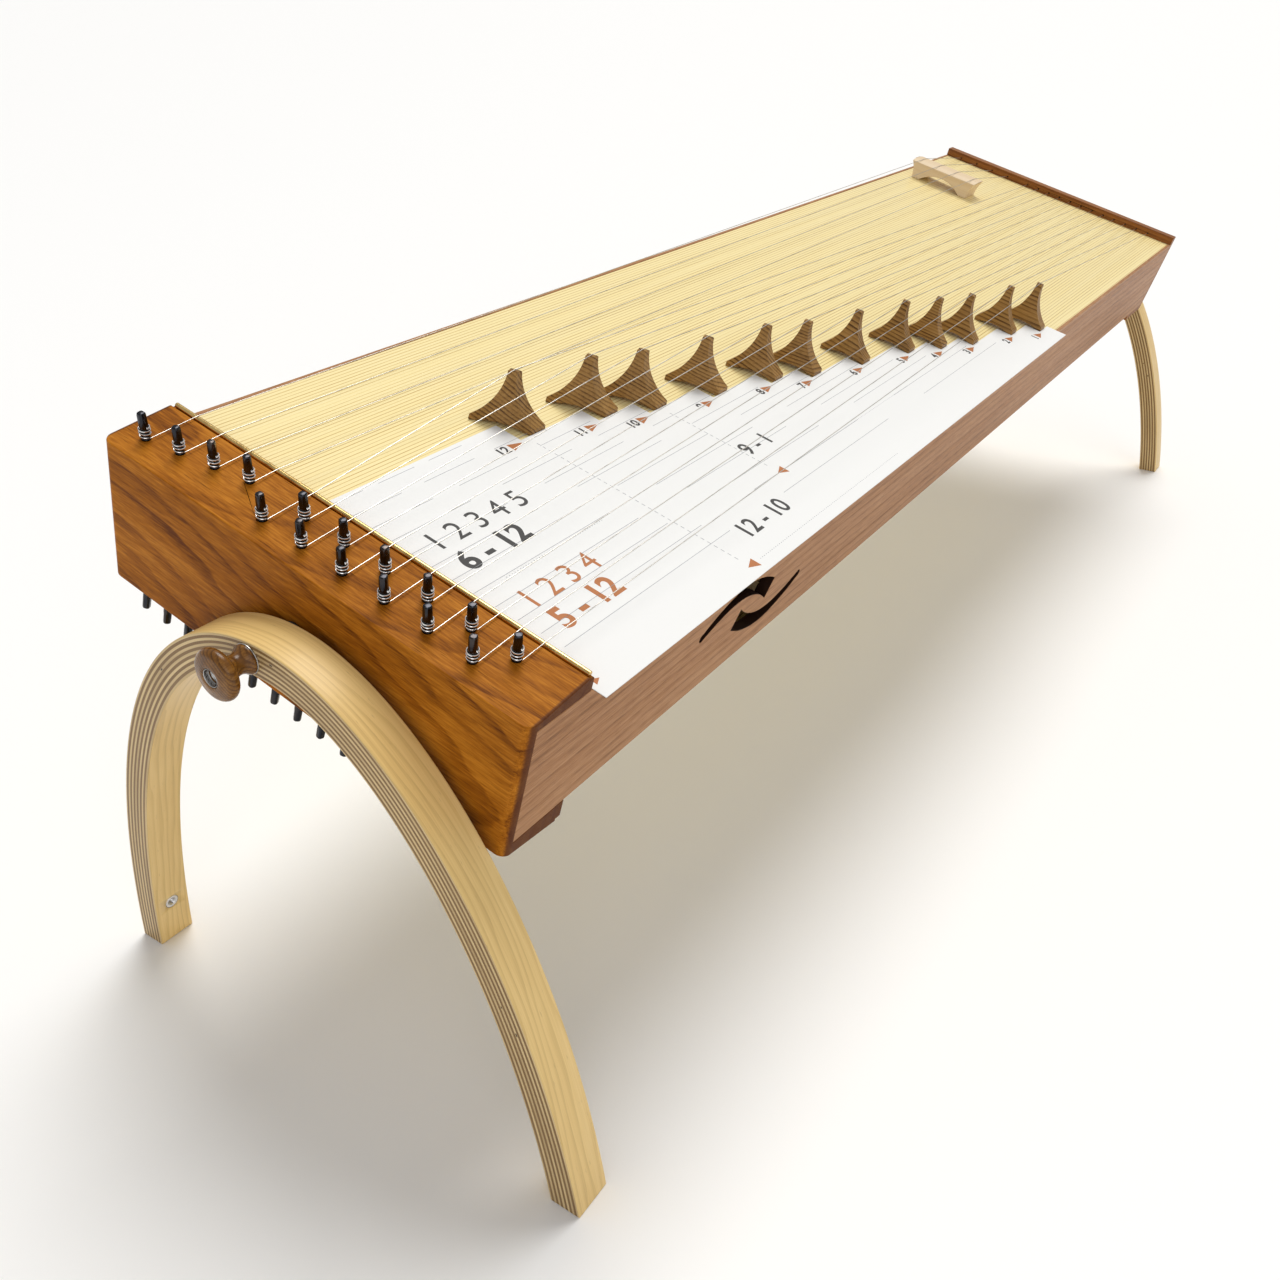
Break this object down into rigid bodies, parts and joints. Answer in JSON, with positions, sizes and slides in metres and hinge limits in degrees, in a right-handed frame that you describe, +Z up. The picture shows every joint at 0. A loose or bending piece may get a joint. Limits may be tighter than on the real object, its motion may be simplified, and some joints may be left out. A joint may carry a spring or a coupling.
{
  "type": "double-sided board zither",
  "caption": "Long board zither strung on both faces, with movable bridges on top, turning between two arched bent-plywood stands.",
  "frame": {"origin": "centre of the footprint, on the floor", "axes": "+X from the tuning-pin end to the tail end, +Y to the far side, +Z up; at rest the sound box is tilted 15.5 degrees about X, its near side down"},
  "size_m": [1.326, 0.3838, 0.3855],
  "materials": {
    "ply": "clear satin lacquer over birch plywood, plies showing on the edges",
    "fibre": "matte black",
    "steel": "plain zinc-bright steel",
    "knob_wood": "polished dark striped hardwood",
    "block_wood": "oiled orange-brown hardwood",
    "ledge_wood": "oiled red-brown hardwood",
    "wall_wood": "satin pink-brown hardwood, straight grain",
    "board_wood": "satin pale softwood, fine straight grain",
    "brace_wood": "bare pale softwood",
    "brass": "bright brass",
    "bridge_wood": "oiled mid-brown hardwood",
    "pale_wood": "bare pale maple",
    "blued_steel": "blued, nearly black",
    "string_steel": "bright drawn wire",
    "paper": "matte white card with grey ruling"
  },
  "bodies": {
    "pin_end_stand": {"pin_end_arch": "ply", "pin_end_spacer": "fibre", "pin_end_washer": "steel", "pin_end_foot_inserts": "steel"},
    "pin_end_clamp": {"pin_end_knob": "knob_wood", "pin_end_stud": "steel"},
    "sound_box": {"pin_block": "block_wood", "tail_block": "ledge_wood", "near_side_wall": "wall_wood", "far_side_wall": "wall_wood", "top_soundboard": "board_wood", "bottom_soundboard": "board_wood", "top_braces": "brace_wood", "bottom_braces": "brace_wood", "threaded_inserts": "brass", "top_nut": "brass", "bottom_nut": "brass", "underside_pins": "blued_steel", "underside_strings": "string_steel", "koto_strings": "string_steel", "tambura_strings": "string_steel", "string_coils": "string_steel", "ball_ends": "brass"},
    "tail_end_stand": {"tail_end_arch": "ply", "tail_end_spacer": "fibre", "tail_end_washer": "steel", "tail_end_foot_inserts": "steel"},
    "tail_end_clamp": {"tail_end_knob": "knob_wood", "tail_end_stud": "steel"},
    "tambura_bridge": {"tambura_bridge": "pale_wood"},
    "tone_template": {"tone_template": "paper"},
    "koto_bridge_01": {"koto_bridge_01": "bridge_wood"},
    "koto_pin_01": {"koto_pin_01": "blued_steel"},
    "koto_bridge_02": {"koto_bridge_02": "bridge_wood"},
    "koto_pin_02": {"koto_pin_02": "blued_steel"},
    "koto_bridge_03": {"koto_bridge_03": "bridge_wood"},
    "koto_pin_03": {"koto_pin_03": "blued_steel"},
    "koto_bridge_04": {"koto_bridge_04": "bridge_wood"},
    "koto_pin_04": {"koto_pin_04": "blued_steel"},
    "koto_bridge_05": {"koto_bridge_05": "bridge_wood"},
    "koto_pin_05": {"koto_pin_05": "blued_steel"},
    "koto_bridge_06": {"koto_bridge_06": "bridge_wood"},
    "koto_pin_06": {"koto_pin_06": "blued_steel"},
    "koto_bridge_07": {"koto_bridge_07": "bridge_wood"},
    "koto_pin_07": {"koto_pin_07": "blued_steel"},
    "koto_bridge_08": {"koto_bridge_08": "bridge_wood"},
    "koto_pin_08": {"koto_pin_08": "blued_steel"},
    "koto_bridge_09": {"koto_bridge_09": "bridge_wood"},
    "koto_pin_09": {"koto_pin_09": "blued_steel"},
    "koto_bridge_10": {"koto_bridge_10": "bridge_wood"},
    "koto_pin_10": {"koto_pin_10": "blued_steel"},
    "koto_bridge_11": {"koto_bridge_11": "bridge_wood"},
    "koto_pin_11": {"koto_pin_11": "blued_steel"},
    "koto_bridge_12": {"koto_bridge_12": "bridge_wood"},
    "koto_pin_12": {"koto_pin_12": "blued_steel"},
    "tambura_pin_1": {"tambura_pin_1": "blued_steel"},
    "tambura_pin_2": {"tambura_pin_2": "blued_steel"},
    "tambura_pin_3": {"tambura_pin_3": "blued_steel"},
    "tambura_pin_4": {"tambura_pin_4": "blued_steel"}
  },
  "joints": [
    {"name": "box_turn", "type": "hinge", "parent": "pin_end_stand", "child": "sound_box", "pos_m": [0, 0, 0.293], "axis": [1, 0, 0], "continuous": true},
    {"name": "tail_stand_turn", "type": "hinge", "parent": "sound_box", "child": "tail_end_stand", "pos_m": [0.61, 0, 0.293], "axis": [1, 0, 0], "continuous": true},
    {"name": "pin_end_knob_turn", "type": "hinge", "parent": "pin_end_stand", "child": "pin_end_clamp", "pos_m": [-0.669, 0, 0.293], "axis": [-1, 0, 0], "range_deg": [-720, 0]},
    {"name": "tail_end_knob_turn", "type": "hinge", "parent": "tail_end_stand", "child": "tail_end_clamp", "pos_m": [0.669, 0, 0.293], "axis": [1, 0, 0], "range_deg": [-720, 0]},
    {"name": "tambura_bridge_slide", "type": "slide", "parent": "sound_box", "child": "tambura_bridge", "axis": [1, 0, 0], "range_m": [-0.04, 0.04], "deforming": ["tambura_strings"]},
    {"name": "template_slide", "type": "slide", "parent": "sound_box", "child": "tone_template", "axis": [0, -0.9636, -0.2672], "range_m": [0, 0.24]},
    {"name": "koto_bridge_01_slide", "type": "slide", "parent": "sound_box", "child": "koto_bridge_01", "axis": [1, 0, 0], "range_m": [0, 0.25], "deforming": ["koto_strings"]},
    {"name": "koto_bridge_02_slide", "type": "slide", "parent": "sound_box", "child": "koto_bridge_02", "axis": [1, 0, 0], "range_m": [0, 0.0227], "deforming": ["koto_strings"]},
    {"name": "koto_bridge_03_slide", "type": "slide", "parent": "sound_box", "child": "koto_bridge_03", "axis": [1, 0, 0], "range_m": [0, 0.0442], "deforming": ["koto_strings"]},
    {"name": "koto_bridge_04_slide", "type": "slide", "parent": "sound_box", "child": "koto_bridge_04", "axis": [1, 0, 0], "range_m": [0, 0.0227], "deforming": ["koto_strings"]},
    {"name": "koto_bridge_05_slide", "type": "slide", "parent": "sound_box", "child": "koto_bridge_05", "axis": [1, 0, 0], "range_m": [0, 0.0213], "deforming": ["koto_strings"]},
    {"name": "koto_bridge_06_slide", "type": "slide", "parent": "sound_box", "child": "koto_bridge_06", "axis": [1, 0, 0], "range_m": [0, 0.0416], "deforming": ["koto_strings"]},
    {"name": "koto_bridge_07_slide", "type": "slide", "parent": "sound_box", "child": "koto_bridge_07", "axis": [1, 0, 0], "range_m": [0, 0.0403], "deforming": ["koto_strings"]},
    {"name": "koto_bridge_08_slide", "type": "slide", "parent": "sound_box", "child": "koto_bridge_08", "axis": [1, 0, 0], "range_m": [0, 0.0174], "deforming": ["koto_strings"]},
    {"name": "koto_bridge_09_slide", "type": "slide", "parent": "sound_box", "child": "koto_bridge_09", "axis": [1, 0, 0], "range_m": [0, 0.0373], "deforming": ["koto_strings"]},
    {"name": "koto_bridge_10_slide", "type": "slide", "parent": "sound_box", "child": "koto_bridge_10", "axis": [1, 0, 0], "range_m": [0, 0.0356], "deforming": ["koto_strings"]},
    {"name": "koto_bridge_11_slide", "type": "slide", "parent": "sound_box", "child": "koto_bridge_11", "axis": [1, 0, 0], "range_m": [0, 0.0142], "deforming": ["koto_strings"]},
    {"name": "koto_bridge_12_slide", "type": "slide", "parent": "sound_box", "child": "koto_bridge_12", "axis": [1, 0, 0], "range_m": [0, 0.0357], "deforming": ["koto_strings"]},
    {"name": "koto_pin_01_turn", "type": "hinge", "parent": "sound_box", "child": "koto_pin_01", "pos_m": [-0.5803, -0.12366, 0.30387], "axis": [-0.1342, -0.2648, 0.9549], "continuous": true, "deforming": ["string_coils"]},
    {"name": "koto_pin_02_turn", "type": "hinge", "parent": "sound_box", "child": "koto_pin_02", "pos_m": [-0.5953, -0.1093, 0.30574], "axis": [-0.1342, -0.2648, 0.9549], "continuous": true, "deforming": ["string_coils"]},
    {"name": "koto_pin_03_turn", "type": "hinge", "parent": "sound_box", "child": "koto_pin_03", "pos_m": [-0.5803, -0.09602, 0.31153], "axis": [-0.1342, -0.2648, 0.9549], "continuous": true, "deforming": ["string_coils"]},
    {"name": "koto_pin_04_turn", "type": "hinge", "parent": "sound_box", "child": "koto_pin_04", "pos_m": [-0.5953, -0.08166, 0.31341], "axis": [-0.1342, -0.2648, 0.9549], "continuous": true, "deforming": ["string_coils"]},
    {"name": "koto_pin_05_turn", "type": "hinge", "parent": "sound_box", "child": "koto_pin_05", "pos_m": [-0.5803, -0.06839, 0.3192], "axis": [-0.1342, -0.2648, 0.9549], "continuous": true, "deforming": ["string_coils"]},
    {"name": "koto_pin_06_turn", "type": "hinge", "parent": "sound_box", "child": "koto_pin_06", "pos_m": [-0.5953, -0.05403, 0.32107], "axis": [-0.1342, -0.2648, 0.9549], "continuous": true, "deforming": ["string_coils"]},
    {"name": "koto_pin_07_turn", "type": "hinge", "parent": "sound_box", "child": "koto_pin_07", "pos_m": [-0.5803, -0.04075, 0.32686], "axis": [-0.1342, -0.2648, 0.9549], "continuous": true, "deforming": ["string_coils"]},
    {"name": "koto_pin_08_turn", "type": "hinge", "parent": "sound_box", "child": "koto_pin_08", "pos_m": [-0.5953, -0.02639, 0.32874], "axis": [-0.1342, -0.2648, 0.9549], "continuous": true, "deforming": ["string_coils"]},
    {"name": "koto_pin_09_turn", "type": "hinge", "parent": "sound_box", "child": "koto_pin_09", "pos_m": [-0.5803, -0.01311, 0.33453], "axis": [-0.1342, -0.2648, 0.9549], "continuous": true, "deforming": ["string_coils"]},
    {"name": "koto_pin_10_turn", "type": "hinge", "parent": "sound_box", "child": "koto_pin_10", "pos_m": [-0.5953, 0.00125, 0.3364], "axis": [-0.1342, -0.2648, 0.9549], "continuous": true, "deforming": ["string_coils"]},
    {"name": "koto_pin_11_turn", "type": "hinge", "parent": "sound_box", "child": "koto_pin_11", "pos_m": [-0.5803, 0.01452, 0.34219], "axis": [-0.1342, -0.2648, 0.9549], "continuous": true, "deforming": ["string_coils"]},
    {"name": "koto_pin_12_turn", "type": "hinge", "parent": "sound_box", "child": "koto_pin_12", "pos_m": [-0.5953, 0.02888, 0.34407], "axis": [-0.1342, -0.2648, 0.9549], "continuous": true, "deforming": ["string_coils"]},
    {"name": "tambura_pin_1_turn", "type": "hinge", "parent": "sound_box", "child": "tambura_pin_1", "pos_m": [-0.5799, 0.05488, 0.35344], "axis": [-0.1342, -0.2648, 0.9549], "continuous": true, "deforming": ["string_coils"]},
    {"name": "tambura_pin_2_turn", "type": "hinge", "parent": "sound_box", "child": "tambura_pin_2", "pos_m": [-0.5847, 0.07587, 0.35859], "axis": [-0.1342, -0.2648, 0.9549], "continuous": true, "deforming": ["string_coils"]},
    {"name": "tambura_pin_3_turn", "type": "hinge", "parent": "sound_box", "child": "tambura_pin_3", "pos_m": [-0.5895, 0.09686, 0.36373], "axis": [-0.1342, -0.2648, 0.9549], "continuous": true, "deforming": ["string_coils"]},
    {"name": "tambura_pin_4_turn", "type": "hinge", "parent": "sound_box", "child": "tambura_pin_4", "pos_m": [-0.5943, 0.11785, 0.36888], "axis": [-0.1342, -0.2648, 0.9549], "continuous": true, "deforming": ["string_coils"]}
  ],
  "couplings": [
    {"joint": "tail_stand_turn", "follows": "box_turn", "ratio": -1}
  ]
}
